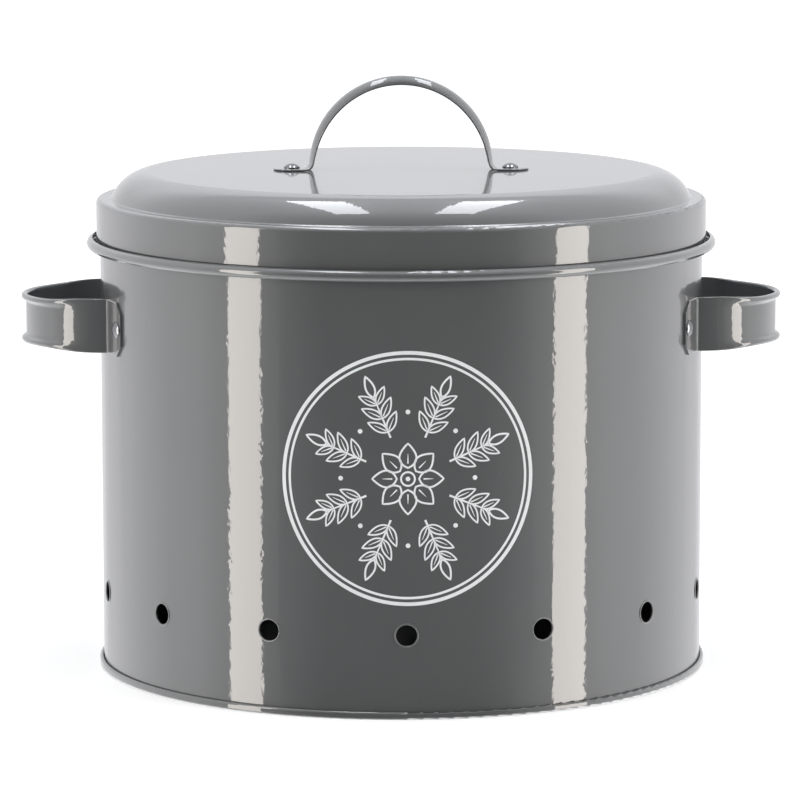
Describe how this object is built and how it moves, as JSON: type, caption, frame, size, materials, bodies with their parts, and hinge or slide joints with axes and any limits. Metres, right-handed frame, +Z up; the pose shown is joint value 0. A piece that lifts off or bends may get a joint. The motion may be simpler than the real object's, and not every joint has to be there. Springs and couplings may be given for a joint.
{
  "type": "potato storage bin",
  "caption": "Round enamelled steel potato bin with a lift-off lid, an arched strap handle on the lid, riveted side handles and a ring of air holes near the base.",
  "frame": {"origin": "on the ground, on the vertical axis of the round wall and lid, at the middle of the part's box", "axes": "+Z up, front of the bin towards -Y, side handles along X"},
  "size_m": [0.3032, 0.2504, 0.2351],
  "materials": {
    "enamel": "glossy grey baked enamel on sheet steel",
    "rivet": "bright nickel-plated steel",
    "print": "pale screen-printed ink under gloss"
  },
  "bodies": {
    "bin": {"body_wall": "enamel", "base_pan": "enamel", "side_handle_left": "enamel", "side_handle_right": "enamel", "side_rivet_left_front": "rivet", "side_rivet_left_rear": "rivet", "side_rivet_right_front": "rivet", "side_rivet_right_rear": "rivet"},
    "lid": {"lid_shell": "enamel", "lid_handle": "enamel", "lid_rivet_left": "rivet", "lid_rivet_right": "rivet"}
  },
  "joints": [
    {"name": "lid_lift", "type": "slide", "parent": "bin", "child": "lid", "axis": [0, 0, 1], "range_m": [0, 0.2]}
  ]
}
